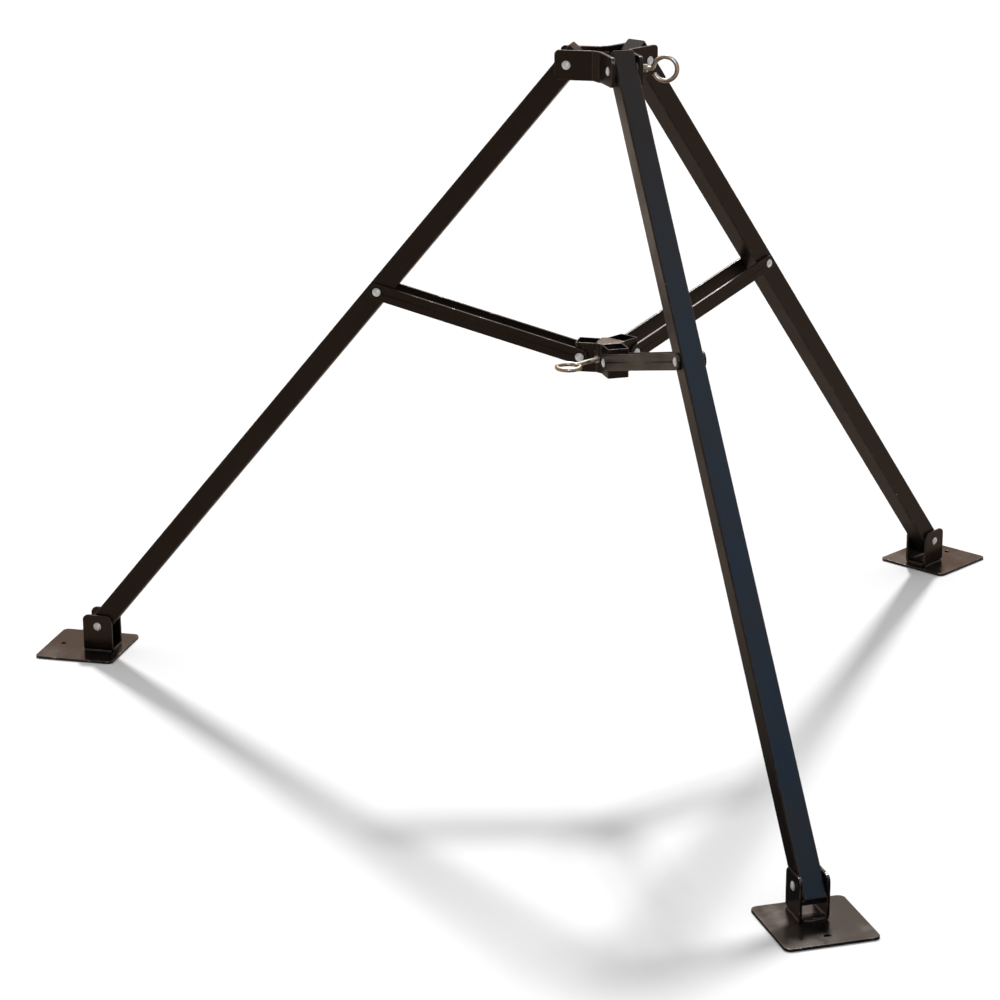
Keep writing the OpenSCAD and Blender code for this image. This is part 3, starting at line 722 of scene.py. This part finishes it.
# Braces
braceLength = np.linalg.norm(bracePivot["front"] - hubPivot["front"])
endRadius = brace["height"] / 2
barCorners = rectangle(braceLength / 2 + endRadius, endRadius)[0]
for side in sides:
    sideways = sidewaysOf(outward[side])
    run = unit(bracePivot[side] - hubPivot[side])
    rise = np.cross(run, sideways)
    centre = (bracePivot[side] + hubPivot[side]) / 2
    for label, s in (("a", -1), ("b", 1)):
        low = centre + sideways * (s * (barFace - brace["thick"] / 2) + brace["thick"] / 2)
        bar = slabShape(barCorners, endRadius * 0.999, brace["thick"], brace["edge"], low, run, rise,
                        -sideways, inset=0.0012, steps=12)
        makePiece(f"braceBar_{side}_{label}", [bar], "brace_" + side, braceFinish,
                  [f"brace_bar_{side}_{label}"])
    radii, heights, wear = domeProfile()
    ends = []
    for s in (-1, 1):
        inner = barFace - brace["thick"]
        ends.append(turnedShape(np.r_[radii, rivet["shank"], rivet["shank"], 0],
                                np.r_[barFace + heights, barFace, inner, inner], np.r_[wear, 0, 0, 0],
                                bracePivot[side], up, s * np.cross(sideways, up), s * sideways))
    makePiece("braceRivetEnds_" + side, ends, "brace_" + side, rivetFinish,
              ["brace_rivet_ends_" + side])
    shank, lead = rivet["shank"], rivet["lead"]
    pin = turnedShape([0, shank - lead, shank, shank, shank - lead, 0],
                      [-halfLeg, -halfLeg, lead - halfLeg, halfLeg - lead, halfLeg, halfLeg],
                      [0, 0.5, 1, 1, 0.5, 0], bracePivot[side], up, np.cross(sideways, up), sideways)
    makePiece("bracePin_" + side, [pin], "leg_" + side, rivetFinish, ["brace_pin_" + side])
print("braces made")

# Feet
foot = {"plate": 0.1524, "thick": 0.00476, "corner": 0.011, "shift": 0.0308, "edge": 0.0009,
        "earWidth": 0.0572, "earTop": 0.0746, "earGap": 0.00075, "bend": 0.0058, "stake": 0.006,
        "stakeIn": 0.0265,
        "longWeld": 0.0033, "endWeld": 0.0031, "weldRipple": 0.0028}
earHalf = halfLeg + foot["earGap"] + foot["thick"]
halfPlate = foot["plate"] / 2
for number, side in enumerate(sides):
    sideways, body = sidewaysOf(outward[side]), "foot_" + side
    under = footPivot[side] * [1, 1, 0]
    base = slabShape(rectangle(halfPlate, halfPlate)[0], foot["corner"], foot["thick"], foot["edge"],
                     under + outward[side] * foot["shift"], outward[side], sideways, up,
                     hole=(halfPlate - foot["stakeIn"], 0, foot["stake"]), inset=0.002)
    makePiece("footPlate_" + side, [base], body, footFinish, ["foot_plate_" + side])
    wall, floorLine = earHalf - foot["thick"] / 2, 1.5 * foot["thick"]
    bracketPath = [(-wall, foot["earTop"]), (-wall, floorLine), (wall, floorLine), (wall, foot["earTop"])]
    bracket = flatBar(bracketPath, foot["bend"], foot["thick"], foot["earWidth"], foot["corner"],
                      foot["edge"], under, sideways, up, outward[side])
    makePiece("footBracket_" + side, [bracket], body, footFinish, ["foot_bracket_" + side])
    beads = []
    for s in (-1, 1):
        line = under + up * foot["thick"] + s * sideways * (earHalf - 0.0015)
        reach = outward[side] * (foot["earWidth"] / 2 - 0.002)
        beads.append(weldBead(line - reach, line + reach, up + s * sideways, foot["longWeld"],
                              foot["weldRipple"], number + s))
        line = under + up * (foot["thick"] + 0.001) + s * outward[side] * foot["earWidth"] / 2
        reach = sideways * (earHalf - 0.006)
        beads.append(weldBead(line - reach, line + reach, up + s * outward[side], foot["endWeld"],
                              foot["weldRipple"], number - s))
    makePiece("footWelds_" + side, beads, body, footFinish, [])
    makePiece("footRivet_" + side, [wholeRivet(earHalf, footPivot[side], sideways)], body,
              rivetFinish, ["foot_rivet_" + side])
print("feet made")

# Floor, light and camera
floorMesh = bpy.data.meshes.new("studioFloor")
# Painted reflection: glossy rays see these floor tones in place of the white paper: a painted shadow at the
# front foot, a dim warm tone over most of the floor and a brighter one far behind the stand
floorValues = {"near": (0.010, 0.010, 0.009, 1), "open": (0.27, 0.215, 0.175, 1),
               "far": (0.62, 0.52, 0.44, 1), "half": 40.0}
half = floorValues["half"]
floorCorners = [(-half, -half, 0), (half, -half, 0), (half, half, 0), (-half, half, 0)]
floorMesh.from_pydata(floorCorners, [], [(0, 1, 2, 3)])
floor = bpy.data.objects.new("studioFloor", floorMesh)
floorFinish, tree, shader, place = newMaterial("studioFloorPaperWithPaintedReflection")
paper = mixed(tree, noise(tree, place, 3.0, 3.0), (0.80, 0.80, 0.80, 1), (0.83, 0.83, 0.83, 1))
depth = addNode(tree, "ShaderNodeSeparateXYZ", Vector=place).outputs["Y"]
away = addNode(tree, "ShaderNodeVectorMath", {"operation": "DISTANCE"})
put(tree, place, away.inputs[0])
away.inputs[1].default_value = footPivot["front"] * [1, 1, 0]
# Painted shadow in reflections: dark within about 0.3 m of the front foot, faded out by 1.5 m
paintedShadowFade = spread(tree, away.outputs["Value"], 0.3, 1.5, 0.0, 1.0)
reflectedFloorShade = mixed(tree, paintedShadowFade, floorValues["near"], floorValues["open"])
tone = mixed(tree, spread(tree, depth, 1.9, 3.6, 0.0, 1.0), reflectedFloorShade, floorValues["far"])
# Painted reflection: only glossy rays see the toned floor, while the camera and diffuse light see the paper
mirrored = addNode(tree, "ShaderNodeLightPath").outputs["Is Glossy Ray"]
put(tree, mixed(tree, mirrored, paper, tone), shader.inputs["Base Color"])
shader.inputs["Roughness"].default_value = 0.9
shader.inputs["Specular IOR Level"].default_value = 0.1
floorMesh.materials.append(floorFinish)
bpy.context.scene.collection.objects.link(floor)

light = {"turn": 72.3, "height": 45.7, "softness": 6.0, "strength": 2.85,
         "glow": 1.25, "glowTint": (0.965, 1.0, 1.03), "glowHeight": 58.0, "dim": 0.16, "band": 0.5,
         "bandTint": (1.0, 0.68, 0.50), "dimTint": (1.0, 0.86, 0.76), "cardTint": (0.03, 0.40, 1.0),
         "card": 24.0, "cardAt": (1.0, -2.15, 2.56), "cardWidth": 2.2, "cardHeight": 2.3,
         "front": 45.0, "frontSize": 1.3, "frontFrom": (-1.2, -4.9, 2.6), "frontDistance": 5.6}


sun = bpy.data.objects.new("key", bpy.data.lights.new("key", "SUN"))
sun.data.energy = light["strength"]
sun.data.angle = np.radians(light["softness"])
key = direction(light["turn"], light["height"])
across = unit(np.cross(up, key))
sun.matrix_world = placed(across, np.cross(key, across), key, key * 6)
bpy.context.scene.collection.objects.link(sun)

# A pale blue card above the front leg shows only as a sheen on it
card = bpy.data.objects.new("blueCard", bpy.data.lights.new("blueCard", "AREA"))
card.data.shape = "RECTANGLE"
card.data.size, card.data.size_y = light["cardWidth"], light["cardHeight"]
card.data.energy, card.data.color = light["card"], light["cardTint"]
card.matrix_world = Matrix.Translation(axis + light["cardAt"])
card.visible_diffuse = card.visible_camera = False
card.data.use_shadow = False
bpy.context.scene.collection.objects.link(card)

# A small weak light beside the camera shows only as glints on edges and rivets
front = bpy.data.objects.new("frontGlint", bpy.data.lights.new("frontGlint", "AREA"))
front.data.size, front.data.energy = light["frontSize"], light["front"]
away = unit(np.array(light["frontFrom"]))
across = unit(np.cross(up, away))
front.matrix_world = placed(across, np.cross(away, across), away, axis + light["frontDistance"] * away)
front.visible_diffuse = front.visible_camera = False
front.data.use_shadow = False
bpy.context.scene.collection.objects.link(front)

# The room: dim and warm behind the camera, with a bright soft wall and ceiling on the far side
world = bpy.data.worlds.new("studio")
world.use_nodes = True
bpy.context.scene.world = world
tree = world.node_tree
sky = addNode(tree, "ShaderNodeTexCoord").outputs["Generated"]


def facing(towards):
    node = addNode(tree, "ShaderNodeVectorMath", {"operation": "DOT_PRODUCT"})
    put(tree, sky, node.inputs[0])
    node.inputs[1].default_value = towards
    return node.outputs["Value"]


def tinted(amount, tint):
    return tuple(amount * c for c in tint) + (1,)


glow = spread(tree, facing(direction(light["turn"], light["glowHeight"])), 0.3, 0.95, 0.0, 1.0)
ceiling = mixed(tree, glow, tinted(light["dim"], light["dimTint"]), tinted(light["glow"], light["glowTint"]))
far = spread(tree, facing(direction(light["turn"], 0.0)), -0.1, 0.7, 0.0, 1.0)
low = spread(tree, facing(up), 0.34, 0.62, 1.0, 0.0)
band = mixed(tree, far, tinted(light["dim"], light["dimTint"]), tinted(light["band"], light["bandTint"]))
room = mixed(tree, low, ceiling, band)
seen = addNode(tree, "ShaderNodeLightPath").outputs["Is Camera Ray"]
put(tree, mixed(tree, seen, room, (1, 1, 1, 1)), tree.nodes["Background"].inputs["Color"])

view = {"lens": 106.466, "sensor": 36.0, "reach": 200.0, "stand": (-1.569207, -4.730161, 1.962225),
        "turn": 73.837308, "height": -17.801746, "roll": -0.325392}
camera = bpy.data.objects.new("camera", bpy.data.cameras.new("camera"))
camera.data.lens, camera.data.sensor_width = view["lens"], view["sensor"]
camera.data.clip_end = view["reach"]
ahead = direction(view["turn"], view["height"])
level = unit(np.cross(ahead, up))
roll = np.radians(view["roll"])
right = np.cos(roll) * level + np.sin(roll) * np.cross(level, ahead)
camera.matrix_world = placed(right, np.cross(right, ahead), -ahead, axis + view["stand"])
bpy.context.scene.collection.objects.link(camera)
bpy.context.scene.camera = camera
bpy.context.scene.view_settings.view_transform = "Standard"
print("floor, light and camera placed")
